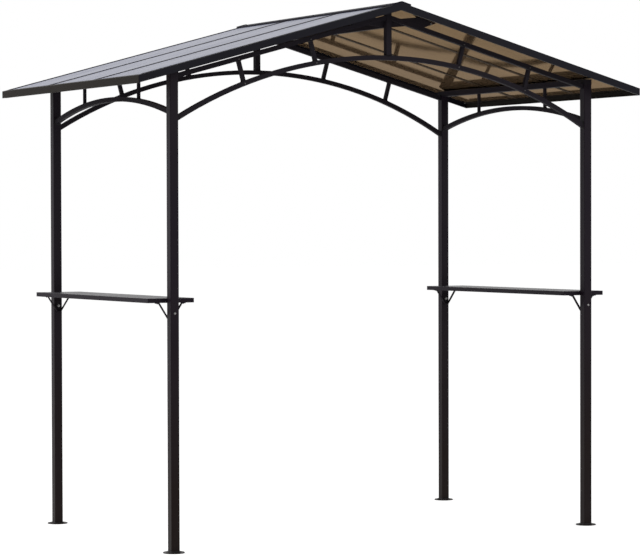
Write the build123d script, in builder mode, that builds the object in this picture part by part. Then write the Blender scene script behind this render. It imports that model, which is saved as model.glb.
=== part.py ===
import os
from math import cos, degrees, radians, sin, tan

from build123d import *

os.makedirs("parts", exist_ok=True)

# Plan, in millimetres: X runs along the eaves' spacing, Y along the ridge, Z up from the ground
roof_half_length = 1230
roof_half_depth = 740
post_x = 1022
post_y = 616
post_size = 38
post_wall = 1.5
post_corner = 3
post_inner_x = post_x - post_size / 2
post_outer_x = post_x + post_size / 2
post_inner_y = post_y - post_size / 2
post_outer_y = post_y + post_size / 2

# Roof planes: heights come from the apex, the pitch and a depth square to the slope
pitch = radians(15.3)
apex_height = 2293
frame_depth = 30
flange_thickness = 2
flange_width = 20
lip_width = 8
panel_top = flange_thickness
panel_thickness = 6
panel_bottom = panel_top + panel_thickness
grip_bottom = panel_bottom + flange_thickness
panel_seams = (-roof_half_depth / 3, roof_half_depth / 3)
panel_play = 2
panel_end_play = 1
seam_width = 26
ridge_leg = 28
cap_leg = 44
cap_sheet = 2
cap_rise = 4.5
cap_end_rise = 6.75
cap_end_length = 14

# Posts and feet
foot_diameter = 90
foot_thickness = 4
foot_chamfer = 1
anchor_circle = 66
anchor_diameter = 7
joint_height = 940
sleeve_length = 60
sleeve_play = 0.2
sleeve_shoulder = 4
stub_joint_height = 1768
joint_gap = 1.2
joint_gap_depth = 0.6

# Trusses
arch_size = 20
arch_wall = 1.5
arch_crown = 2066
arch_spring = 1791
arch_angle = 64
side_arch_crown = 1892
side_arch_spring = 1817
side_arch_angle = 30
rafter_size = 20
rafter_top = 41
rafter_bottom = rafter_top + rafter_size
king_size = 25
strut_size = 16
strut_blank = 300
strut_places = (352, 692)
side_strut_size = 12
side_strut_y = 285
header_height = 25
header_wall = 1.5
ridge_beam_width = 20
ridge_beam_wall = 1.5
ridge_beam_low = 2196
ridge_beam_high = 2234
gusset_reach = 105
gusset_rise = 10
gusset_thickness = 2.5
spacer_sheet = 2
spacer_foot = (57, 178)
spacer_head = (148, 235)

# Shelves
shelf_width = 210
shelf_top = 1050
shelf_edge = 19
shelf_corner = 1.5
shelf_sheet = 2
shelf_rib_width = 24
shelf_rib_lift = 6
shelf_return = 16
brace_drop = 68
brace_reach = 52
brace_tab = 14
brace_flat = 18
brace_strap = 3
brace_width = 14
brace_plate_width = 28
brace_plate_height = 46
brace_plate_corner = 4
brace_bolt_hole = 7
brace_bolt_height = 988


def roof_height(x, depth):
    """Height of the roof plane at x, at a depth square to the slope."""
    return apex_height - tan(pitch) * abs(x) - depth / cos(pitch)


header_top = roof_height(post_outer_x, grip_bottom)
post_top = header_top - header_height
eave_bottom = roof_height(roof_half_length, frame_depth)


def arc_radius(half_span, rise):
    return (half_span**2 + rise**2) / (2 * rise)


arch_radius = arc_radius(post_inner_x, arch_crown - arch_spring)
side_arch_radius = arc_radius(post_inner_y, side_arch_crown - side_arch_spring)
arch_centre = arch_crown - arch_radius
side_arch_centre = side_arch_crown - side_arch_radius


def save(name, label):
    name.part.label = label
    export_step(name.part, f"parts/{label}.step")


def save_mirrored(source, plane, label):
    with BuildPart() as copy:
        mirror(source.part, about=plane)
    save(copy, label)
    return copy


def slope_band(near, far, top, bottom, mode=Mode.ADD):
    """Strip of a roof slope between two distances from the ridge, with plumb ends."""
    Polygon(
        (near, roof_height(near, top)),
        (far, roof_height(far, top)),
        (far, roof_height(far, bottom)),
        (near, roof_height(near, bottom)),
        align=None,
        mode=mode,
    )


# Lower post: a tube on a round anchor plate
with BuildPart() as front_left_lower_post:
    with BuildSketch(Plane.XY):
        with Locations((-post_x, -post_y)):
            Circle(foot_diameter / 2)
            with PolarLocations(anchor_circle / 2, 4):
                Circle(anchor_diameter / 2, mode=Mode.SUBTRACT)
    extrude(amount=foot_thickness)
    chamfer(front_left_lower_post.faces().sort_by(Axis.Z)[-1].outer_wire().edges(), foot_chamfer)
    with BuildSketch(Plane.XY.offset(foot_thickness)):
        with Locations((-post_x, -post_y)):
            RectangleRounded(post_size, post_size, post_corner)
            Rectangle(post_size - 2 * post_wall, post_size - 2 * post_wall, mode=Mode.SUBTRACT)
    extrude(amount=joint_height - foot_thickness)
save(front_left_lower_post, "front_left_lower_post")
front_right_lower_post = save_mirrored(front_left_lower_post, Plane.YZ, "front_right_lower_post")
save_mirrored(front_left_lower_post, Plane.XZ, "back_left_lower_post")
save_mirrored(front_right_lower_post, Plane.XZ, "back_right_lower_post")

# Upper post: the same tube, with a sleeve that drops into the lower one and a joint below the arches
sleeve_size = post_size - 2 * post_wall - 2 * sleeve_play
joint_neck = post_size - 2 * joint_gap_depth
with BuildPart() as front_left_upper_post:
    with BuildSketch(Plane.XY.offset(joint_height)):
        with Locations((-post_x, -post_y)):
            RectangleRounded(post_size, post_size, post_corner)
    extrude(amount=post_top - joint_height)
    with BuildSketch(Plane.XY.offset(joint_height - sleeve_length)):
        with Locations((-post_x, -post_y)):
            Rectangle(sleeve_size, sleeve_size)
    extrude(amount=sleeve_length)
    with BuildSketch(Plane.XY.offset(joint_height - sleeve_length)):
        with Locations((-post_x, -post_y)):
            Rectangle(sleeve_size - 2 * post_wall, sleeve_size - 2 * post_wall)
    extrude(amount=sleeve_length + sleeve_shoulder, mode=Mode.SUBTRACT)
    with BuildSketch(Plane.XY.offset(joint_height + sleeve_shoulder)):
        with Locations((-post_x, -post_y)):
            Rectangle(post_size - 2 * post_wall, post_size - 2 * post_wall)
    extrude(amount=post_top - joint_height - sleeve_shoulder, mode=Mode.SUBTRACT)
    with BuildSketch(Plane.XY.offset(stub_joint_height)):
        with Locations((-post_x, -post_y)):
            Rectangle(post_size, post_size)
            Rectangle(joint_neck, joint_neck, mode=Mode.SUBTRACT)
    extrude(amount=joint_gap, mode=Mode.SUBTRACT)
save(front_left_upper_post, "front_left_upper_post")
front_right_upper_post = save_mirrored(front_left_upper_post, Plane.YZ, "front_right_upper_post")
save_mirrored(front_left_upper_post, Plane.XZ, "back_left_upper_post")
save_mirrored(front_right_upper_post, Plane.XZ, "back_right_upper_post")

# Front and back arches: a square tube bent to one radius and cut plumb at the posts
with BuildPart() as front_arch:
    with BuildLine(Plane.XZ.offset(post_y)) as arch_path:
        CenterArc((0, arch_centre), arch_radius, 90 - arch_angle / 2, arch_angle)
    with BuildSketch(Plane(arch_path.wires()[0] ^ 0)):
        Rectangle(arch_size, arch_size)
        Rectangle(arch_size - 2 * arch_wall, arch_size - 2 * arch_wall, mode=Mode.SUBTRACT)
    sweep()
    split(bisect_by=Plane.YZ.offset(post_inner_x), keep=Keep.BOTTOM)
    split(bisect_by=Plane.YZ.offset(-post_inner_x), keep=Keep.TOP)
save(front_arch, "front_arch")
save_mirrored(front_arch, Plane.XZ, "back_arch")

# Side arches: the same tube, flatter
with BuildPart() as left_arch:
    with BuildLine(Plane.YZ.offset(-post_x)) as side_arch_path:
        CenterArc((0, side_arch_centre), side_arch_radius, 90 - side_arch_angle / 2, side_arch_angle)
    with BuildSketch(Plane(side_arch_path.wires()[0] ^ 0)):
        Rectangle(arch_size, arch_size)
        Rectangle(arch_size - 2 * arch_wall, arch_size - 2 * arch_wall, mode=Mode.SUBTRACT)
    sweep()
    split(bisect_by=Plane.XZ.offset(post_inner_y), keep=Keep.BOTTOM)
    split(bisect_by=Plane.XZ.offset(-post_inner_y), keep=Keep.TOP)
save(left_arch, "left_arch")
save_mirrored(left_arch, Plane.YZ, "right_arch")

# Rafters: straight tubes from the king post down to the corner posts
with BuildPart() as front_right_rafter:
    with BuildSketch(Plane.XZ.offset(post_y)):
        slope_band(king_size / 2, post_inner_x, rafter_top, rafter_bottom)
    extrude(amount=rafter_size / 2, both=True)
    with BuildSketch(Plane.XZ.offset(post_y)):
        slope_band(king_size / 2, post_inner_x, rafter_top + arch_wall, rafter_bottom - arch_wall)
    extrude(amount=rafter_size / 2 - arch_wall, both=True, mode=Mode.SUBTRACT)
save(front_right_rafter, "front_right_rafter")
front_left_rafter = save_mirrored(front_right_rafter, Plane.YZ, "front_left_rafter")
save_mirrored(front_right_rafter, Plane.XZ, "back_right_rafter")
save_mirrored(front_left_rafter, Plane.XZ, "back_left_rafter")

# King post: stands on the arch's crown, carries the ridge and has the rafters' gussets welded on
king_top = roof_height(king_size / 2, grip_bottom)
with BuildPart() as front_king_post:
    with BuildSketch(Plane.XZ.offset(post_y)):
        with Locations((0, (king_top + arch_crown) / 2)):
            Rectangle(king_size, king_top - arch_crown)
        with Locations((0, arch_centre)):
            Circle(arch_radius + arch_size / 2, mode=Mode.SUBTRACT)
    extrude(amount=king_size / 2, both=True)
    with BuildSketch(Plane.XZ.offset(post_inner_y + (post_size - king_size) / 2)):
        Polygon(
            (0, ridge_beam_low),
            (gusset_reach, ridge_beam_low + gusset_rise),
            (gusset_reach, roof_height(gusset_reach, rafter_bottom)),
            (gusset_reach, roof_height(gusset_reach, rafter_top)),
            (0, roof_height(0, rafter_top)),
            align=None,
        )
        mirror(about=Plane.YZ)
    extrude(amount=gusset_thickness)
save(front_king_post, "front_king_post")
save_mirrored(front_king_post, Plane.XZ, "back_king_post")

# Truss struts: square to the rafter and coped to the arch below
with BuildPart() as front_truss_struts:
    for place in strut_places:
        foot = arch_centre + (arch_radius**2 - place**2) ** 0.5
        with BuildSketch(Plane.XZ.offset(post_y)):
            with Locations(Location((place, foot), -degrees(pitch))):
                Rectangle(strut_size, strut_blank)
            with Locations((0, arch_centre)):
                Circle(arch_radius + arch_size / 2, mode=Mode.SUBTRACT)
            slope_band(0, roof_half_length, -strut_blank, rafter_bottom, mode=Mode.SUBTRACT)
        extrude(amount=strut_size / 2, both=True)
    mirror(about=Plane.YZ)
save(front_truss_struts, "front_truss_struts")
save_mirrored(front_truss_struts, Plane.XZ, "back_truss_struts")

# Side struts: plumb, between the side arch and the header
with BuildPart() as left_side_struts:
    with BuildSketch(Plane.YZ.offset(-post_x)):
        for place in (-side_strut_y, side_strut_y):
            with Locations((place, post_top)):
                Rectangle(side_strut_size, strut_blank, align=(Align.CENTER, Align.MAX))
        with Locations((0, side_arch_centre)):
            Circle(side_arch_radius + arch_size / 2, mode=Mode.SUBTRACT)
    extrude(amount=side_strut_size / 2, both=True)
save(left_side_struts, "left_side_struts")
save_mirrored(left_side_struts, Plane.YZ, "right_side_struts")

# Headers: plugged tubes on the posts' tops, front to back, that carry the roof frame
with BuildPart() as left_header:
    with BuildSketch(Plane.XZ):
        with Locations((-post_x, post_top + header_height / 2)):
            Rectangle(post_size, header_height)
    extrude(amount=post_outer_y, both=True)
    with BuildSketch(Plane.XZ):
        with Locations((-post_x, post_top + header_height / 2)):
            Rectangle(post_size - 2 * header_wall, header_height - 2 * header_wall)
    extrude(amount=post_outer_y - header_wall, both=True, mode=Mode.SUBTRACT)
save(left_header, "left_header")
save_mirrored(left_header, Plane.YZ, "right_header")

# Ridge beam: runs between the two king posts
with BuildPart() as ridge_beam:
    with BuildSketch(Plane.XZ):
        with Locations((0, (ridge_beam_low + ridge_beam_high) / 2)):
            Rectangle(ridge_beam_width, ridge_beam_high - ridge_beam_low)
            offset(amount=-ridge_beam_wall, kind=Kind.INTERSECTION, mode=Mode.SUBTRACT)
    extrude(amount=post_y - king_size / 2, both=True)
save(ridge_beam, "ridge_beam")

# Roof spacers: pressed brackets with a folded edge, wedged between the rafters and the panels
spacer_outline = [(x, roof_height(x, rafter_top)) for x in spacer_foot]
spacer_outline += [(x, roof_height(x, panel_bottom)) for x in reversed(spacer_head)]
with BuildPart() as front_roof_spacers:
    with BuildSketch(Plane.XZ.offset(post_y)):
        Polygon(*spacer_outline, align=None)
    extrude(amount=rafter_size / 2, both=True)
    with BuildSketch(Plane.XZ.offset(post_y + rafter_size / 2 - spacer_sheet)):
        Polygon(*spacer_outline, align=None)
        offset(amount=-spacer_sheet, kind=Kind.INTERSECTION, mode=Mode.REPLACE)
    extrude(amount=spacer_sheet - rafter_size, mode=Mode.SUBTRACT)
    mirror(about=Plane.YZ)
save(front_roof_spacers, "front_roof_spacers")
save_mirrored(front_roof_spacers, Plane.XZ, "back_roof_spacers")

# Rake frames: an open-fronted profile that grips the panels' edges, mitred at the ridge
eave_inner = roof_half_length - flange_thickness
rake_web = roof_half_depth - flange_thickness
rake_plane = Plane(
    origin=(0, -roof_half_depth, apex_height),
    x_dir=(0, 1, 0),
    z_dir=(cos(pitch), 0, -sin(pitch)),
)
with BuildPart() as front_right_rake:
    with BuildSketch(rake_plane.offset(-frame_depth)):
        with BuildLine():
            Polyline(
                (0, 0),
                (flange_thickness + flange_width, 0),
                (flange_thickness + flange_width, -flange_thickness),
                (flange_thickness, -flange_thickness),
                (flange_thickness, -panel_bottom),
                (flange_thickness + flange_width, -panel_bottom),
                (flange_thickness + flange_width, -grip_bottom),
                (flange_thickness, -grip_bottom),
                (flange_thickness, flange_thickness - frame_depth),
                (flange_thickness + lip_width, flange_thickness - frame_depth),
                (flange_thickness + lip_width, -frame_depth),
                (0, -frame_depth),
                close=True,
            )
        make_face()
    extrude(amount=roof_half_length / cos(pitch) + 2 * frame_depth)
    split(bisect_by=Plane.YZ, keep=Keep.TOP)
    split(bisect_by=Plane.YZ.offset(eave_inner), keep=Keep.BOTTOM)
save(front_right_rake, "front_right_rake")
front_left_rake = save_mirrored(front_right_rake, Plane.YZ, "front_left_rake")
save_mirrored(front_right_rake, Plane.XZ, "back_right_rake")
save_mirrored(front_left_rake, Plane.XZ, "back_left_rake")

# Eave frames: the same grip at the foot of each slope, with a plumb face
eave_lip = eave_inner - lip_width
flange_near = eave_inner - flange_width
rake_flange_inner = rake_web - flange_width
with BuildPart() as right_eave:
    with BuildSketch(Plane.XZ):
        Polygon(
            (roof_half_length, roof_height(roof_half_length, 0)),
            (roof_half_length, eave_bottom),
            (eave_inner, eave_bottom),
            (eave_inner, roof_height(eave_inner, 0)),
            align=None,
        )
    extrude(amount=roof_half_depth, both=True)
    with BuildSketch(Plane.XZ):
        slope_band(flange_near, eave_inner, 0, panel_top)
        slope_band(flange_near, eave_inner, panel_bottom, grip_bottom)
        with Locations((eave_lip, eave_bottom)):
            Rectangle(lip_width, flange_thickness, align=Align.MIN)
    extrude(amount=rake_flange_inner, both=True)
save(right_eave, "right_eave")
save_mirrored(right_eave, Plane.YZ, "left_eave")

# Ridge rail: two folded flanges on a plumb web, holding the panels' upper edges
with BuildPart() as ridge_rail:
    with BuildSketch(Plane.XZ):
        slope_band(0, ridge_leg, 0, panel_top)
        slope_band(0, flange_thickness / 2, panel_top, panel_bottom)
        slope_band(0, ridge_leg, panel_bottom, grip_bottom)
        mirror(about=Plane.YZ)
    extrude(amount=rake_flange_inner, both=True)
save(ridge_rail, "ridge_rail")

# Ridge cap: a folded cover over the whole ridge, with a thicker end piece at each gable
with BuildPart() as ridge_cap:
    with BuildSketch(Plane.XZ):
        slope_band(0, cap_leg, -cap_rise, 0)
        slope_band(0, cap_leg - cap_sheet, cap_sheet - cap_rise, 0, mode=Mode.SUBTRACT)
        mirror(about=Plane.YZ)
    extrude(amount=roof_half_depth - cap_end_length, both=True)
    for end_offset in (roof_half_depth - cap_end_length, -roof_half_depth):
        with BuildSketch(Plane.XZ.offset(end_offset)):
            slope_band(0, cap_leg, -cap_end_rise, 0)
            mirror(about=Plane.YZ)
        extrude(amount=cap_end_length)
save(ridge_cap, "ridge_cap")

# Roof panels: three sheets to a slope, just clear of the webs between them
panel_webs = (-rake_web, *panel_seams, rake_web)
with BuildPart() as right_roof_panels:
    for low, high in zip(panel_webs[:-1], panel_webs[1:]):
        with BuildSketch(Plane.XZ.offset(panel_play - high)):
            slope_band(panel_play, eave_inner - panel_end_play, panel_top, panel_bottom)
        extrude(amount=high - low - 2 * panel_play)
save(right_roof_panels, "right_roof_panels")
save_mirrored(right_roof_panels, Plane.YZ, "left_roof_panels")

# Seam strips: an H section between neighbouring panels, from the ridge rail to the eave
with BuildPart() as right_seam_strips:
    for seam in panel_seams:
        with BuildSketch(Plane.XZ.offset(-seam)):
            slope_band(ridge_leg, flange_near, 0, panel_top)
            slope_band(ridge_leg, flange_near, panel_bottom, grip_bottom)
        extrude(amount=seam_width / 2, both=True)
        with BuildSketch(Plane.XZ.offset(-seam)):
            slope_band(ridge_leg, flange_near, 0, grip_bottom)
        extrude(amount=flange_thickness / 2, both=True)
save(right_seam_strips, "right_seam_strips")
save_mirrored(right_seam_strips, Plane.YZ, "left_seam_strips")

# Shelf: a folded sheet tray, open below, stiffened by hat-shaped ribs
shelf_length = 2 * post_inner_y
with BuildPart() as left_shelf:
    with BuildSketch(Plane.XY.offset(shelf_top - shelf_edge)):
        with Locations((-post_x, 0)):
            Rectangle(shelf_width, shelf_length)
    extrude(amount=shelf_edge)
    top_edges = left_shelf.faces().sort_by(Axis.Z)[-1].edges()
    fillet(top_edges, shelf_corner)
    offset(amount=-shelf_sheet, openings=left_shelf.faces().sort_by(Axis.Z)[0])
    with BuildSketch(Plane.XY.offset(shelf_top - shelf_edge + shelf_rib_lift)):
        with Locations((-post_x, -shelf_length / 6), (-post_x, shelf_length / 6)):
            Rectangle(shelf_width - 2 * shelf_sheet, shelf_rib_width)
    extrude(amount=shelf_edge - shelf_rib_lift - shelf_sheet)
    with BuildSketch(Plane.XY.offset(shelf_top - shelf_edge)):
        for end in (-1, 1):
            with Locations((-post_x, end * (post_inner_y - shelf_return / 2))):
                Rectangle(shelf_width - 2 * shelf_sheet, shelf_return)
    extrude(amount=shelf_sheet)
save(left_shelf, "left_shelf")
save_mirrored(left_shelf, Plane.YZ, "right_shelf")

# Shelf braces: a bolted plate with a strap bent up to both sides of the shelf
shelf_bottom = shelf_top - shelf_edge
with BuildPart() as left_shelf_braces:
    with BuildSketch(Plane.XZ.offset(post_inner_y)):
        with BuildLine():
            strap = Polyline(
                (-post_x - brace_reach - brace_tab, shelf_bottom - brace_strap / 2),
                (-post_x - brace_reach, shelf_bottom - brace_strap / 2),
                (-post_x - brace_flat / 2, shelf_bottom - brace_drop),
                (-post_x + brace_flat / 2, shelf_bottom - brace_drop),
                (-post_x + brace_reach, shelf_bottom - brace_strap / 2),
                (-post_x + brace_reach + brace_tab, shelf_bottom - brace_strap / 2),
            )
            offset(strap, amount=brace_strap / 2, side=Side.BOTH)
        make_face()
    extrude(amount=-brace_width)
    with BuildSketch(Plane.XZ.offset(post_inner_y)):
        with Locations((-post_x, brace_bolt_height)):
            RectangleRounded(brace_plate_width, brace_plate_height, brace_plate_corner)
            Circle(brace_bolt_hole / 2, mode=Mode.SUBTRACT)
    extrude(amount=-brace_strap)
    mirror(about=Plane.XZ)
save(left_shelf_braces, "left_shelf_braces")
save_mirrored(left_shelf_braces, Plane.YZ, "right_shelf_braces")
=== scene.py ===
from math import asin, cos, pi, radians, sin, sqrt, tan

import bmesh
import bpy
from mathutils import Matrix, Vector


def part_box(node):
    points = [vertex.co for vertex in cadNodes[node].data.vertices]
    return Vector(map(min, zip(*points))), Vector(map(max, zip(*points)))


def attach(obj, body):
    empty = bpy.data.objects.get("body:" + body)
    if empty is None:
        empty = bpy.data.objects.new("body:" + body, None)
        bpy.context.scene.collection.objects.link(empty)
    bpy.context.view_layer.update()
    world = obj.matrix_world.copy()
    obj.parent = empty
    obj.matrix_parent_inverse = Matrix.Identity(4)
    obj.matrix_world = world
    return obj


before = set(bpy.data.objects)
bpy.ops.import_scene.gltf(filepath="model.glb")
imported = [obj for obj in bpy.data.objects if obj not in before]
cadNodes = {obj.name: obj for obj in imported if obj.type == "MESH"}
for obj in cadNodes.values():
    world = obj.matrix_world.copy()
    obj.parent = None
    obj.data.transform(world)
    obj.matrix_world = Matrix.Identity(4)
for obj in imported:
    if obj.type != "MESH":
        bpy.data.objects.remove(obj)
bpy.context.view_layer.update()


def extent(name, axis):  # where a node begins and ends along an axis
    low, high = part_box(name)
    return getattr(low, axis), getattr(high, axis)


def thickness(name, axis):  # a node's size along an axis
    low, high = extent(name, axis)
    return high - low


# The frame's measures in metres, read from its nodes where their boxes give them.
# Crown and spring are heights of an arch's centre line, at its middle and at the posts.
# Every depth is taken from the roof's top face, square to its slope
pitch = radians(15.3)
apex = extent("front_right_rake", "z")[1]
innerX, outerX = extent("back_right_upper_post", "x")
innerY, outerY = extent("back_right_upper_post", "y")
postX, postY = (innerX + outerX) / 2, (innerY + outerY) / 2
tube = thickness("front_arch", "y")
trussFace = postY + tube / 2
arch = {"crown": extent("front_arch", "z")[1] - tube / 2, "spring": 1.791}
sideArch = {"crown": extent("right_arch", "z")[1] - tube / 2, "spring": 1.817}
strut = {"size": thickness("front_truss_struts", "y"), "places": (0.352, 0.692), "topDepth": 0.061}
sideStrut = {"size": thickness("right_side_struts", "x")}
sideStrut["y"] = extent("right_side_struts", "y")[1] - sideStrut["size"] / 2


def roofPoint(x, y, depth=0.0):  # the roof's point over x and y, at a depth
    drop = tan(pitch) * abs(x) + depth / cos(pitch)
    return Vector((x, y, apex - drop))


def roofNormal(x):  # square to the slope that x is on, upwards
    return Vector((sin(pitch) * (1 if x > 0 else -1), 0, cos(pitch)))


def arcRadius(halfSpan, look):
    rise = look["crown"] - look["spring"]
    return (halfSpan ** 2 + rise ** 2) / (2 * rise)


archRadius = arcRadius(innerX, arch)
sideRadius = arcRadius(innerY, sideArch)


def corners():  # the four posts, as signs of X and Y
    return [(sideX, sideY) for sideX in (-1, 1) for sideY in (-1, 1)]


# Shader maths


class Wire:  # a node's output, in sums that add their own nodes
    def __init__(self, tree, socket=None):
        self.tree = tree
        self.socket = socket

    def node(self, kind, settings=None, values=None, output=0):
        made = self.tree.nodes.new(kind)
        for name, value in (settings or {}).items():
            if name == "stops":
                setStops(made.color_ramp.elements, value)
            else:
                setattr(made, name, value)
        for name, value in (values or {}).items():
            if isinstance(value, Wire):
                self.tree.links.new(value.socket, made.inputs[name])
            else:
                made.inputs[name].default_value = value
        return Wire(self.tree, made.outputs[output] if made.outputs else None)

    def maths(self, operation, first, second):
        return self.node("ShaderNodeMath", {"operation": operation}, {0: first, 1: second})

    def __add__(self, other):
        return self.maths("ADD", self, other)

    def __radd__(self, other):
        return self.maths("ADD", other, self)

    def __rsub__(self, other):
        return self.maths("SUBTRACT", other, self)

    def __mul__(self, other):
        return self.maths("MULTIPLY", self, other)

    def __truediv__(self, other):
        return self.maths("DIVIDE", self, other)

    def __gt__(self, other):
        return self.maths("GREATER_THAN", self, other)


def setStops(elements, stops):
    while len(elements) < len(stops):
        elements.new(0.5)
    for element, (place, value) in zip(elements, stops):
        element.position = place
        element.color = (value, value, value, 1)


def emptyTree(owner):  # a material's or a world's nodes, from none
    owner.use_nodes = True
    owner.node_tree.nodes.clear()
    return Wire(owner.node_tree)


def startMaterial(name):
    material = bpy.data.materials.new(name)
    base = emptyTree(material)
    return material, base.node("ShaderNodeTexCoord", output="Object")


def endMaterial(shader):
    shader.node("ShaderNodeOutputMaterial", {}, {"Surface": shader})


def principled(place, surface, height=None, bump=None):
    if height:
        bumpValues = {"Height": height, "Strength": bump["strength"], "Distance": bump["distance"]}
        surface = surface | {"Normal": place.node("ShaderNodeBump", {}, bumpValues)}
    return place.node("ShaderNodeBsdfPrincipled", {}, surface)


def blendColour(factor, first, second):  # Mix, set to colours
    return factor.node("ShaderNodeMix", {"data_type": "RGBA"}, {0: factor, 6: first, 7: second}, 2)


def noise(place, look):
    if "stretch" in look:
        place = place.node("ShaderNodeMapping", {}, {"Vector": place, "Scale": look["stretch"]})
    values = {"Vector": place, "Scale": look["scale"], "Detail": look["detail"], "Roughness": look["grain"]}
    return place.node("ShaderNodeTexNoise", {}, values)


def cutTo(value, look):  # the least value below a range, 1 above it
    low, high = look["range"]
    stops = ((low, look.get("least", 0.0)), (high, 1.0))
    return value.node("ShaderNodeValToRGB", {"stops": stops}, {0: value})


def patches(place, look):  # noise that is cut to its range
    return cutTo(noise(place, look), look)


def smoothStep(value, low, high):  # 0 below low, 1 above high
    values = {"Value": value, "From Min": low, "From Max": high}
    return value.node("ShaderNodeMapRange", {"interpolation_type": "SMOOTHSTEP"}, values)


def between(mask, black, white):  # one value where the mask is 0, the other where it is 1
    return black + mask * (white - black)


def shared(masks, shares):  # masks added up, each by its share
    return sum(mask * share for mask, share in zip(masks, shares))


def axisOf(place, letter):
    return place.node("ShaderNodeSeparateXYZ", {}, {0: place}, letter)


def upwards(place):  # how far the face itself looks up
    return axisOf(place.node("ShaderNodeNewGeometry", output="True Normal"), "Z")


# Camera and stage

camera = {  # in metres and degrees, with its focal length in pixels of the picture's width
    "place": (-5.6537, -10.4254, 1.3613), "turn": -28.474, "tilt": -1.212, "roll": -0.145,
    "focal": 2633.4, "pixels": 640, "sensor": 36, "reach": 200,
}


def makeCamera(look):
    data = bpy.data.cameras.new("camera")
    data.sensor_width = look["sensor"]
    data.lens = look["focal"] / look["pixels"] * look["sensor"]
    data.clip_end = look["reach"]
    eye = bpy.data.objects.new("camera", data)
    bpy.context.scene.collection.objects.link(eye)
    turn = Matrix.Rotation(radians(look["turn"]), 4, "Z")
    tilt = Matrix.Rotation(radians(90 + look["tilt"]), 4, "X")
    roll = Matrix.Rotation(radians(look["roll"]), 4, "Z")
    eye.matrix_world = Matrix.Translation(look["place"]) @ turn @ tilt @ roll
    bpy.context.scene.camera = eye


stage = {
    "floorSize": 60, "floorPale": 0.80, "floorSeen": 0.50, "floorGlow": 0.66,
    "skyLevel": 0.72, "sky": (1.0, 1.0, 1.0, 1),
}


def seenRay(base):  # 1 for camera, glossy and transmission rays, which see the pale background
    path = base.node("ShaderNodeLightPath").socket.node
    names = ("Is Camera Ray", "Is Glossy Ray", "Is Transmission Ray")
    eye, gloss, clear = (Wire(base.tree, path.outputs[name]) for name in names)
    return base.maths("MAXIMUM", base.maths("MAXIMUM", eye, gloss), clear)


def makeFloor(look):
    bm = bmesh.new()
    bmesh.ops.create_grid(bm, x_segments=1, y_segments=1, size=look["floorSize"])
    mesh = bpy.data.meshes.new("floor")
    bm.to_mesh(mesh)
    bm.free()
    floor = bpy.data.objects.new("floor", mesh)
    bpy.context.scene.collection.objects.link(floor)

    material = bpy.data.materials.new("paleFloor")
    base = emptyTree(material)
    seen = seenRay(base)
    pale, bright = ((level, level, level, 1) for level in (look["floorPale"], look["floorSeen"]))
    matt = base.node("ShaderNodeBsdfDiffuse", {}, {"Color": blendColour(seen, pale, bright)})
    glow = base.node("ShaderNodeEmission", {}, {"Strength": seen * look["floorGlow"]})
    endMaterial(base.node("ShaderNodeAddShader", {}, {0: matt, 1: glow}))
    mesh.materials.append(material)


def makeSky(look):
    world = bpy.data.worlds.new("studio")
    bpy.context.scene.world = world
    base = emptyTree(world)
    level = between(seenRay(base), look["skyLevel"], 1)
    sky = base.node("ShaderNodeBackground", {}, {"Color": look["sky"], "Strength": level})
    base.node("ShaderNodeOutputWorld", {}, {"Surface": sky})


lamps = {
    "keyLamp": {"place": (-5.5, 3.0, 6.5), "target": (0, 0, 1.4), "size": 4.5, "watts": 420},
    "fillLamp": {"place": (4.0, -6.5, 5.0), "target": (0, 0, 1.2), "size": 4.0, "watts": 130},
}


def makeLamp(name, look):
    light = bpy.data.lights.new(name, "AREA")
    light.shape = "DISK"
    light.size = look["size"]
    light.energy = look["watts"]
    lamp = bpy.data.objects.new(name, light)
    bpy.context.scene.collection.objects.link(lamp)
    lamp.location = look["place"]
    aim = Vector(look["target"]) - Vector(look["place"])
    lamp.rotation_euler = aim.to_track_quat("-Z", "Y").to_euler()


makeCamera(camera)
makeFloor(stage)
makeSky(stage)
for lampName, lampLook in lamps.items():
    makeLamp(lampName, lampLook)
print("camera, floor and lamps are set")

# Finishes of the frame and the roof. A share is how far a pattern mixes in its colour, or adds roughness

coat = {  # roughShares are those of clouds, streaks and dust
    # the low colour is a painted reflection of the brown ground, blended in towards the ground
    "colour": (0.0074, 0.0042, 0.0090, 1), "low": (0.0068, 0.0028, 0.0020, 1), "lowRun": (0.2, 1.25),
    "cloud": (0.0120, 0.0080, 0.0115, 1), "cloudShare": 0.55,
    "dust": (0.030, 0.023, 0.018, 1), "streakShare": 0.10, "dustShare": 0.0, "dustTop": 0.01,
    "roughness": 0.40, "roughShares": (0.08, 0.06, 0.4), "specular": 0.092,
    "clouds": {"scale": 3.1, "detail": 5, "grain": 0.62, "range": (0.38, 0.70)},
    "streaks": {"scale": 55, "detail": 4, "grain": 0.6, "range": (0.52, 0.78), "stretch": (1, 1, 0.06)},
    "grit": {"scale": 26, "detail": 6, "grain": 0.7, "range": (0.35, 0.75), "least": 0.15},
    "peel": {"scale": 620, "detail": 2, "grain": 0.5, "strength": 0.10, "distance": 0.0006},
}


def makeCoat(name, look):  # powder coat: fine orange peel, faint clouds, dustier near the ground, and browner towards the ground as a painted reflection of the brown ground
    material, place = startMaterial(name)
    height = axisOf(place, "Z")
    cloud, streak, grit = (patches(place, look[pattern]) for pattern in ("clouds", "streaks", "grit"))
    dust = (1 - smoothStep(height, 0.0, look["dustTop"])) * grit * look["dustShare"]
    # browner towards the ground: painted reflection of the brown ground
    colour = blendColour(smoothStep(height, *look["lowRun"]), look["low"], look["colour"])
    colour = blendColour(cloud * look["cloudShare"], colour, look["cloud"])
    colour = blendColour(streak * look["streakShare"] + dust, colour, look["dust"])
    surface = {
        "Base Color": colour,
        "Roughness": look["roughness"] + shared((cloud, streak, dust), look["roughShares"]),
        "Specular IOR Level": look["specular"],
    }
    endMaterial(principled(place, surface, noise(place, look["peel"]), look["peel"]))
    return material


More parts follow.
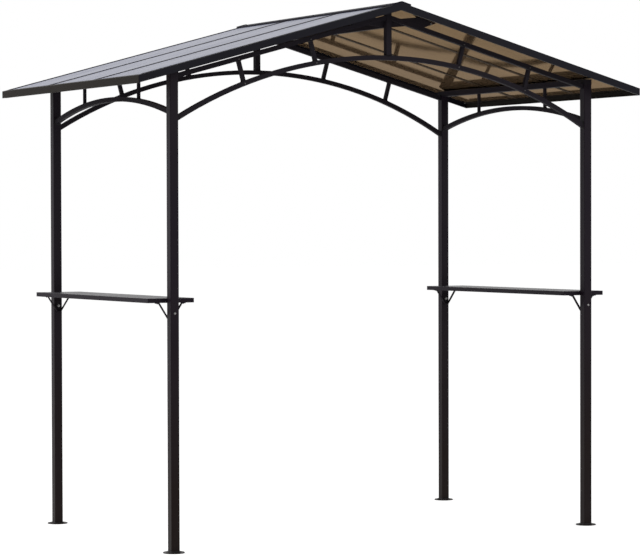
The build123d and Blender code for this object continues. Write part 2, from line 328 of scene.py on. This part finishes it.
postLook = coat | {"dustShare": 0.10, "dustTop": 0.40}
# the truss's copy of the coat is lighter than the posts': painted reflection of the brown sheet above it
trussLook = coat | {
    "colour": (0.0158, 0.0138, 0.0182, 1), "cloud": (0.0205, 0.0170, 0.0195, 1),
    "roughness": 0.50, "specular": 0.018,
}
rakeLook = coat | {
    "colour": (0.0082, 0.0080, 0.0120, 1), "cloud": (0.0125, 0.0118, 0.0155, 1), "specular": 0.055,
}
eaveLook = coat | {
    "colour": (0.0140, 0.0118, 0.0100, 1), "cloud": (0.0185, 0.0158, 0.0130, 1), "specular": 0.024,
}
capLook = coat | {
    "colour": (0.0085, 0.0078, 0.0135, 1), "cloud": (0.0125, 0.0115, 0.0165, 1),
    "roughness": 0.50, "specular": 0.045,
}
postCoat = makeCoat("postCoat", postLook)
trussCoat = makeCoat("trussCoat", trussLook)
rakeCoat = makeCoat("rakeCoat", rakeLook)
eaveCoat = makeCoat("eaveCoat", eaveLook)
capCoat = makeCoat("capCoat", capLook)

sheet = {  # the shares are those of ribs, clouds and smears
    "flute": 0.010, "ribRun": (0.70, 1.0), "ribBump": {"strength": 0.12, "distance": 0.0003},
    "clouds": {"scale": 2.6, "detail": 4, "grain": 0.55, "range": (0.35, 0.70)},
    "smears": {"scale": 9, "detail": 5, "grain": 0.6, "range": (0.42, 0.75), "stretch": (0.25, 1, 1)},
    # under is partly the sheet's own tan and partly a painted reflection of the brown ground; the metallic
    # share and the specular tint paint that brown reflection
    "under": (0.192, 0.126, 0.072, 1), "underDark": (0.108, 0.067, 0.037, 1),
    "underShares": (0.30, 0.25, 0.45), "underBrownReflection": 0.62, "underRoughness": 0.065, "underSmear": 0.03,
    "underSpecular": 0.015, "groundReflectionTint": (0.46, 0.365, 0.255, 1),
    # top and topDark are slate blue, a painted reflection of a dark bluish surrounding
    "top": (0.095, 0.105, 0.170, 1), "topDark": (0.060, 0.066, 0.110, 1),
    "topShares": (0.5, 0.3), "topRoughness": 0.30, "topSmear": 0.08, "topSpecular": 0.46,
}


def makeSheet(name, look):  # twin-wall sheet: flutes run down the slope; glossy tan below, partly the sheet's own tan and partly a painted reflection of the brown ground; slate blue above, a painted reflection of a dark bluish surrounding
    material, place = startMaterial(name)
    along = axisOf(place, "Y") / look["flute"]
    wave = along.maths("PINGPONG", along, 0.5) * 2  # up to 1 and back to 0 across each flute
    rib = smoothStep(wave, *look["ribRun"])
    cloud, smear = (patches(place, look[pattern]) for pattern in ("clouds", "smears"))
    underShade = shared((rib, cloud, smear), look["underShares"])
    # below: tan sheet with a painted reflection of the brown ground
    under = principled(place, {
        "Base Color": blendColour(underShade, look["under"], look["underDark"]),
        "Metallic": look["underBrownReflection"],
        "Roughness": smear * look["underSmear"] + look["underRoughness"],
        "Specular IOR Level": look["underSpecular"],
        "Specular Tint": look["groundReflectionTint"],
    })
    # above: slate blue, a painted reflection of a dark bluish surrounding
    topShade = shared((rib, cloud), look["topShares"])
    over = principled(place, {
        "Base Color": blendColour(topShade, look["top"], look["topDark"]),
        "Roughness": smear * look["topSmear"] + look["topRoughness"],
        "Specular IOR Level": look["topSpecular"],
    }, rib, look["ribBump"])
    top = upwards(place) > 0.0
    endMaterial(place.node("ShaderNodeMixShader", {}, {0: top, 1: under, 2: over}))
    return material


roofSheet = makeSheet("roofSheet", sheet)

strip = {
    # under is brown, a painted reflection of the brown sheet
    "top": (0.0080, 0.0085, 0.0150, 1), "under": (0.036, 0.024, 0.014, 1), "worn": (0.060, 0.040, 0.024, 1),
    "wear": {"scale": 12, "detail": 5, "grain": 0.6, "range": (0.40, 0.72), "stretch": (0.2, 1, 1)},
    "wearShare": 0.7, "wearRough": 0.08, "topRoughness": 0.42, "underRoughness": 0.50, "specular": 0.012,
    "peel": {"scale": 480, "detail": 2, "grain": 0.5, "strength": 0.08, "distance": 0.0005},
}


def makeStripCoat(name, look):  # the strips that hold the sheets: dark above, brown below, the brown a painted reflection of the brown sheet
    material, place = startMaterial(name)
    top = upwards(place) > 0.0
    wear = patches(place, look["wear"])
    # brown below: a painted reflection of the brown sheet
    under = blendColour(wear * look["wearShare"], look["under"], look["worn"])
    roughness = between(top, look["underRoughness"], look["topRoughness"])
    surface = {
        "Base Color": blendColour(top, under, look["top"]),
        "Roughness": roughness + wear * look["wearRough"],
        "Specular IOR Level": look["specular"],
    }
    endMaterial(principled(place, surface, noise(place, look["peel"]), look["peel"]))
    return material


stripCoat = makeStripCoat("stripCoat", strip)

shelfLook = {
    "top": (0.0190, 0.0175, 0.0225, 1), "side": (0.0062, 0.0036, 0.0074, 1), "topRun": (0.5, 0.9),
    "scuff": (0.045, 0.044, 0.050, 1), "scuffShare": 0.16, "cloudShare": 0.08, "cloudRough": 0.06,
    "clouds": {"scale": 6, "detail": 5, "grain": 0.6, "range": (0.36, 0.72)},
    "scuffs": {"scale": 60, "detail": 3, "grain": 0.6, "range": (0.60, 0.74), "stretch": (1, 0.05, 1)},
    "topRoughness": 0.34, "sideRoughness": 0.52, "specular": 0.105, "tint": (0.97, 0.92, 1.0, 1),
    "peel": {"scale": 540, "detail": 2, "grain": 0.5, "strength": 0.12, "distance": 0.0006},
}


def makeShelfCoat(name, look):  # the posts' coat, lighter on its upward faces and darker on its sides as painted light and shade, and scuffed on top where things are set down
    material, place = startMaterial(name)
    top = smoothStep(upwards(place), *look["topRun"])
    cloud, scuff = (patches(place, look[pattern]) for pattern in ("clouds", "scuffs"))
    # lighter top and darker sides by facing: painted light and shade
    colour = blendColour(top, look["side"], look["top"])
    worn = cloud * look["cloudShare"] + top * scuff * look["scuffShare"]
    roughness = between(top, look["sideRoughness"], look["topRoughness"])
    surface = {
        "Base Color": blendColour(worn, colour, look["scuff"]),
        "Roughness": roughness + cloud * look["cloudRough"],
        "Specular IOR Level": look["specular"],
        "Specular Tint": look["tint"],
    }
    endMaterial(principled(place, surface, noise(place, look["peel"]), look["peel"]))
    return material


shelfCoat = makeShelfCoat("shelfCoat", shelfLook)

finishes = {  # by the end of a node's name; every other node has the truss's coat
    "lower_post": postCoat, "upper_post": postCoat, "rake": rakeCoat, "eave": eaveCoat, "ridge_cap": capCoat,
    "seam_strips": stripCoat, "ridge_rail": stripCoat, "roof_panels": roofSheet, "shelf": shelfCoat,
}
for nodeName, node in cadNodes.items():
    own = [finishes[ending] for ending in finishes if nodeName.endswith(ending)]
    node.data.materials.clear()
    node.data.materials.append(own[0] if own else trussCoat)
print("the frame's", len(cadNodes), "nodes have their finishes")

# Finishes of bolts, welds and gaskets

zinc = {
    "colour": (0.30, 0.295, 0.29, 1), "dull": (0.11, 0.107, 0.105, 1), "roughness": 0.36, "dullRough": 0.25,
    "tarnish": {"scale": 240, "detail": 4, "grain": 0.6, "range": (0.42, 0.68),
                "strength": 0.10, "distance": 0.0002},
}
dullZinc = zinc | {"colour": (0.100, 0.095, 0.095, 1), "dull": (0.045, 0.042, 0.043, 1)}
weldLook = {
    # the colour is lighter than the frame's coat and the crests lighter still: painted highlight
    "colour": (0.011, 0.010, 0.011, 1), "crestHighlight": (0.024, 0.021, 0.022, 1),
    "roughness": 0.50, "crestRough": 0.10, "specular": 0.07,
    "ripples": {"scale": 900, "detail": 2, "grain": 0.4, "range": (0.45, 0.65),
                "strength": 0.35, "distance": 0.0006},
}
rubber = {
    "colour": (0.012, 0.009, 0.007, 1), "bloom": (0.026, 0.020, 0.015, 1),
    "roughness": 0.70, "bloomRough": 0.15, "specular": 0.012,
    "blooming": {"scale": 30, "detail": 5, "grain": 0.65, "range": (0.45, 0.75), "stretch": (0.3, 1, 1),
                 "strength": 0.10, "distance": 0.0004},
}


def makeZinc(name, look):  # bright plating, dulled in patches
    material, place = startMaterial(name)
    dull = patches(place, look["tarnish"])
    surface = {
        "Base Color": blendColour(dull, look["colour"], look["dull"]),
        "Metallic": 1.0,
        "Roughness": dull * look["dullRough"] + look["roughness"],
    }
    endMaterial(principled(place, surface, dull, look["tarnish"]))
    return material


def makeWeldCoat(name, look):  # painted weld: ripples along the bead, lighter than the coat and lighter still on their crests, a painted highlight
    material, place = startMaterial(name)
    ripple = noise(place, look["ripples"])
    crestHighlight = cutTo(ripple, look["ripples"])
    surface = {
        "Base Color": blendColour(crestHighlight, look["colour"], look["crestHighlight"]),
        "Roughness": crestHighlight * look["crestRough"] + look["roughness"],
        "Specular IOR Level": look["specular"],
    }
    endMaterial(principled(place, surface, ripple, look["ripples"]))
    return material


def makeRubber(name, look):  # black rubber with a brown bloom
    material, place = startMaterial(name)
    bloom = patches(place, look["blooming"])
    surface = {
        "Base Color": blendColour(bloom, look["colour"], look["bloom"]),
        "Roughness": bloom * look["bloomRough"] + look["roughness"],
        "Specular IOR Level": look["specular"],
    }
    endMaterial(principled(place, surface, bloom, look["blooming"]))
    return material


zincPlate = makeZinc("zincPlate", zinc)
dullPlate = makeZinc("dullPlate", dullZinc)
weldCoat = makeWeldCoat("weldCoat", weldLook)
blackRubber = makeRubber("blackRubber", rubber)

# How a new piece is made

shaping = {"sharp": radians(32), "mergeDistance": 1e-6}


def asMesh(name, bm):  # ends a bmesh
    bmesh.ops.recalc_face_normals(bm, faces=bm.faces)
    mesh = bpy.data.meshes.new(name)
    bm.to_mesh(mesh)
    bm.free()
    return mesh


def asPiece(name, bm, material):
    mesh = asMesh(name, bm)
    mesh.shade_smooth()
    mesh.set_sharp_from_angle(angle=shaping["sharp"])
    mesh.materials.append(material)
    piece = bpy.data.objects.new(name, mesh)
    bpy.context.scene.collection.objects.link(piece)
    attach(piece, "root")


def stamp(bm, template, place, direction):  # a copy of a template, its Z turned along a direction
    before = len(bm.verts)
    bm.from_mesh(template)
    bm.verts.ensure_lookup_table()
    turn = Vector(direction).to_track_quat("Z", "Y").to_matrix().to_4x4()
    bmesh.ops.transform(bm, matrix=Matrix.Translation(place) @ turn, verts=bm.verts[before:])


def stampOnce(bm, part, place, direction):  # one bmesh into another
    template = asMesh("template", part)
    stamp(bm, template, place, direction)
    bpy.data.meshes.remove(template)


def soften(bm, edges, offset):  # rounds edges
    bmesh.ops.bevel(bm, geom=edges, offset=offset, affect="EDGES", segments=2, profile=0.5, material=-1)


def edgeRise(edge):  # how far an edge climbs along Z
    return abs(edge.verts[0].co.z - edge.verts[1].co.z)


def lathe(bm, profile, steps):  # spins (radius, height) points round Z; the ends lie on the axis
    verts = [bm.verts.new((radius, 0, height)) for radius, height in profile]
    edges = [bm.edges.new(pair) for pair in zip(verts, verts[1:])]
    bmesh.ops.spin(bm, geom=verts + edges, axis=(0, 0, 1), cent=(0, 0, 0), angle=2 * pi, steps=steps,
                   use_merge=True)
    bmesh.ops.remove_doubles(bm, verts=bm.verts, dist=shaping["mergeDistance"])


def hexagon(bm, across, low, high, chamfer):  # a prism above the rest of bm, softened round its top
    radius = across / sqrt(3)
    made = bmesh.ops.create_cone(bm, cap_ends=True, segments=6, radius1=radius, radius2=radius,
                                 depth=high - low)
    bmesh.ops.translate(bm, vec=(0, 0, (low + high) / 2), verts=made["verts"])
    rim = [edge for edge in bm.edges if min(vert.co.z for vert in edge.verts) > high - chamfer / 2]
    soften(bm, rim, chamfer)


# Bolts and screws

fastener = {
    "scales": (0.74, 0.62, 0.45), "across": 0.010, "chamfer": 0.0007, "headHeight": 0.0044, "sunk": 0.5,
    "flange": 0.0066, "flangeHeight": 0.0014, "skirt": 0.45, "shoulder": 0.82, "flangeSteps": 20,
    "nutHeight": 0.0052, "shank": 0.0030, "shankSteps": 14,
    "thread": 0.0010, "turns": 4, "root": 0.84, "tip": 0.75,
}


def makeHead(look, scale):  # a flanged hexagon head that stands on Z = 0
    bm = bmesh.new()
    flange, rise = look["flange"] * scale, look["flangeHeight"] * scale
    skirt, shoulder = rise * look["skirt"], flange * look["shoulder"]
    lathe(bm, [(0, 0), (flange, 0), (flange, skirt), (shoulder, rise), (0, rise)], look["flangeSteps"])
    top = rise + look["headHeight"] * scale
    hexagon(bm, look["across"] * scale, rise * look["sunk"], top, look["chamfer"] * scale)
    return asMesh("head", bm)


def makeNut(look):  # washer, hexagon nut and the bolt's threaded end
    bm = bmesh.new()
    flange, rise = look["flange"], look["flangeHeight"]
    shank, thread = look["shank"], look["thread"]
    lathe(bm, [(0, 0), (flange, 0), (flange, rise), (0, rise)], look["flangeSteps"])
    top = rise + look["nutHeight"]
    hexagon(bm, look["across"], rise * look["sunk"], top, look["chamfer"])
    profile = [(0, top - thread), (shank, top - thread)]
    for turn in range(look["turns"]):
        level = top + turn * thread
        profile += [(shank * look["root"], level), (shank, level + thread / 2)]
    end = top + look["turns"] * thread
    profile += [(shank * look["tip"], end), (0, end)]
    lathe(bm, profile, look["shankSteps"])
    return asMesh("nut", bm)


head, smallHead, tinyHead = (makeHead(fastener, scale) for scale in fastener["scales"])
nut = makeNut(fastener)

shelfFixing = {"boltHeight": 0.988, "strap": 0.003, "screwReach": 0.059, "tabWidth": 0.014}


def addShelfFixings(look):  # a bolt and nut through each post, and screws up through the braces' tabs
    bolts, nuts, screws = bmesh.new(), bmesh.new(), bmesh.new()
    tabY = innerY - look["tabWidth"] / 2
    tabBottom = extent("left_shelf", "z")[0] - look["strap"]
    for sideX, sideY in corners():
        x = sideX * postX
        stamp(bolts, head, (x, sideY * outerY, look["boltHeight"]), (0, sideY, 0))
        stamp(nuts, nut, (x, sideY * (innerY - look["strap"]), look["boltHeight"]), (0, -sideY, 0))
        for reach in (-look["screwReach"], look["screwReach"]):
            stamp(screws, tinyHead, (x + reach, sideY * tabY, tabBottom), (0, 0, -1))
    asPiece("shelf_bolts", bolts, zincPlate)
    asPiece("shelf_nuts", nuts, zincPlate)
    asPiece("brace_screws", screws, shelfCoat)


def strutRun(x):  # a strut's foot on the arch's centre line, and its top under the rafter
    foot = Vector((x, 0, sqrt(archRadius ** 2 - x ** 2) + arch["crown"] - archRadius))
    depth = (roofPoint(x, 0).z - foot.z) * cos(pitch)
    return foot, foot + roofNormal(x) * (depth - strut["topDepth"])


trussFixing = {
    "strutDepth": 0.053, "gussetReach": (0.040, 0.088), "gussetDepth": 0.051,
    "spacerReach": 0.212, "spacerDepth": 0.015,
}


def addTrussFixings(look):  # screws at the struts' ends, bolts through gussets and roof spacers
    screws, bolts, nuts, spacers = (bmesh.new() for made in range(4))
    gussetBack = -extent("front_king_post", "y")[1]
    for side, face in corners():
        outwards = Vector((0, face, 0))
        for place in strut["places"]:
            foot, top = strutRun(side * place)
            seat = top + roofNormal(side * place) * (strut["topDepth"] - look["strutDepth"])
            for spot in (foot, seat):
                stamp(screws, tinyHead, spot + outwards * trussFace, outwards)
        for reach in look["gussetReach"]:
            spot = roofPoint(side * reach, 0, look["gussetDepth"])
            stamp(bolts, tinyHead, spot + outwards * trussFace, outwards)
            stamp(nuts, smallHead, spot + outwards * gussetBack, -outwards)
        spot = roofPoint(side * look["spacerReach"], face * trussFace, look["spacerDepth"])
        stamp(spacers, smallHead, spot, outwards)
    asPiece("strut_screws", screws, dullPlate)
    asPiece("gusset_bolts", bolts, trussCoat)
    asPiece("gusset_nuts", nuts, trussCoat)
    asPiece("spacer_bolts", spacers, zincPlate)


roofFixing = {
    "capX": 0.030, "capY": (-0.66, -0.33, 0.0, 0.33, 0.66), "capRise": 0.0045,
    "cornerX": 1.212, "cornerY": 0.722, "cornerDepth": 0.010,
}


def addRoofFixings(look):  # screws down both legs of the ridge cap, and up into the corners of the roof frame
    caps, frameCorners = bmesh.new(), bmesh.new()
    for side in (-1, 1):
        capX, cornerX = side * look["capX"], side * look["cornerX"]
        for y in look["capY"]:
            stamp(caps, tinyHead, roofPoint(capX, y, -look["capRise"]), roofNormal(capX))
        for y in (-look["cornerY"], look["cornerY"]):
            stamp(frameCorners, smallHead, roofPoint(cornerX, y, look["cornerDepth"]), -roofNormal(cornerX))
    asPiece("ridge_cap_screws", caps, capCoat)
    asPiece("roof_corner_screws", frameCorners, zincPlate)


addShelfFixings(shelfFixing)
addTrussFixings(trussFixing)
addRoofFixings(roofFixing)
for template in (head, smallHead, tinyHead, nut):
    bpy.data.meshes.remove(template)
print("bolts and screws are in")

# Welds

weld = {
    "leg": 0.0034, "footLeg": 0.0050, "footTop": 0.004, "round": 0.6, "sunk": 0.25,
    "cuts": 7, "ripple": 0.0004, "rippleRun": 0.0028,
}


def weldRing(bm, place, outwards, across, tall, leg, lean=0.0):  # a rippled bead round a square tube's end
    ring = bmesh.new()
    bmesh.ops.create_cube(ring, size=1)
    bmesh.ops.scale(ring, vec=(across + 2 * leg, tall + 2 * leg, leg), verts=ring.verts)
    bmesh.ops.translate(ring, vec=(0, 0, leg / 2), verts=ring.verts)
    top = [vert for vert in ring.verts if vert.co.z > leg / 2]
    bmesh.ops.scale(ring, vec=(across / (across + 2 * leg), tall / (tall + 2 * leg), 1), verts=top)
    bmesh.ops.translate(ring, vec=(0, lean * leg, 0), verts=top)
    soften(ring, [edge for edge in ring.edges if edgeRise(edge) > leg / 2], leg * weld["round"])
    level = [edge for edge in ring.edges if edge.calc_length() > leg and edgeRise(edge) < leg / 4]
    bmesh.ops.subdivide_edges(ring, edges=level, cuts=weld["cuts"])
    for vert in ring.verts:  # the bead swells and narrows along its run
        if vert.co.z < leg / 4:
            swell = weld["ripple"] * sin((vert.co.x - vert.co.y) * 2 * pi / weld["rippleRun"])
            vert.co.xy += vert.co.xy.normalized() * swell
    stampOnce(bm, ring, place, outwards)


def addWelds(look):  # a bead round each tube's end where it stands on another piece
    feet, arches, sides, struts, kings = (bmesh.new() for made in range(5))
    leg, sunk = look["leg"], look["leg"] * look["sunk"]
    archLean, sideLean = asin(innerX / archRadius), asin(innerY / sideRadius)
    postSize, kingSize = outerX - innerX, thickness("front_king_post", "y")
    archCentre = Vector((0, 0, arch["crown"] - archRadius))
    up = Vector((0, 0, 1))
    for sideX, sideY in corners():
        x, y = sideX * postX, sideY * postY
        weldRing(feet, (x, y, look["footTop"]), up, postSize, postSize, look["footLeg"])
        spring = (sideX * innerX, y, arch["spring"])
        weldRing(arches, spring, (-sideX, 0, 0), tube, tube / cos(archLean), leg, tan(archLean))
        spring = (x, sideY * innerY, sideArch["spring"])
        weldRing(sides, spring, (0, -sideY, 0), tube, tube / cos(sideLean), leg, tan(sideLean))
        for place in strut["places"]:
            foot, top = strutRun(sideX * place)
            radial = (foot - archCentre).normalized()
            normal = roofNormal(sideX * place)
            inTruss = Vector((0, y, 0))
            weldRing(struts, foot + normal * tube / 2 + inTruss, radial, strut["size"], strut["size"], leg)
            weldRing(struts, top + inTruss, -normal, strut["size"], strut["size"], leg)
        strutY = sideY * sideStrut["y"]
        archTop = sqrt((sideRadius + tube / 2) ** 2 - strutY ** 2) + sideArch["crown"] - sideRadius
        weldRing(sides, (x, strutY, archTop - sunk), up, sideStrut["size"], sideStrut["size"], leg)
    for face in (-1, 1):
        kingFoot = (0, face * postY, arch["crown"] + tube / 2 - sunk)
        weldRing(kings, kingFoot, up, kingSize, kingSize, leg)
    asPiece("foot_welds", feet, weldCoat)
    asPiece("arch_welds", arches, weldCoat)
    asPiece("side_arch_welds", sides, weldCoat)
    asPiece("strut_welds", struts, weldCoat)
    asPiece("king_post_welds", kings, weldCoat)


addWelds(weld)
print("welds are in")

# Seals along the rakes and gaskets beside the seam strips

rakeSeal = {"width": 0.0040, "height": 0.0060, "round": 0.35, "y": 0.718, "depth": 0.0015, "near": 0.046}
gasket = {"width": 0.0026, "height": 0.0028, "round": 0.35, "stripWidth": 0.026, "depths": (0.002, 0.008)}


def sealBar(bm, startX, endX, y, depth, look):  # a rubber bead that lies along the slope
    start, end = roofPoint(startX, y, depth), roofPoint(endX, y, depth)
    bar = bmesh.new()
    bmesh.ops.create_cube(bar, size=1)
    bmesh.ops.scale(bar, vec=(look["width"], look["height"], (end - start).length), verts=bar.verts)
    long = [edge for edge in bar.edges if edgeRise(edge) > look["height"]]
    soften(bar, long, look["width"] * look["round"])
    stampOnce(bm, bar, (start + end) / 2, end - start)


def addSeals():  # gaskets on both faces of the sheets, seals on their upper face only
    gaskets, seals = bmesh.new(), bmesh.new()
    near, far = extent("right_seam_strips", "x")
    seamY = extent("right_seam_strips", "y")[1] - gasket["stripWidth"] / 2
    beside = (gasket["stripWidth"] + gasket["width"]) / 2
    for side in (-1, 1):
        for seam in (-seamY, seamY):
            for y in (seam - beside, seam + beside):
                for depth in gasket["depths"]:
                    sealBar(gaskets, side * near, side * far, y, depth, gasket)
        for y in (-rakeSeal["y"], rakeSeal["y"]):
            sealBar(seals, side * rakeSeal["near"], side * far, y, rakeSeal["depth"], rakeSeal)
    asPiece("rake_seals", seals, blackRubber)
    asPiece("seam_gaskets", gaskets, blackRubber)


addSeals()
print("gaskets are in")

bpy.context.scene.view_settings.view_transform = "Standard"
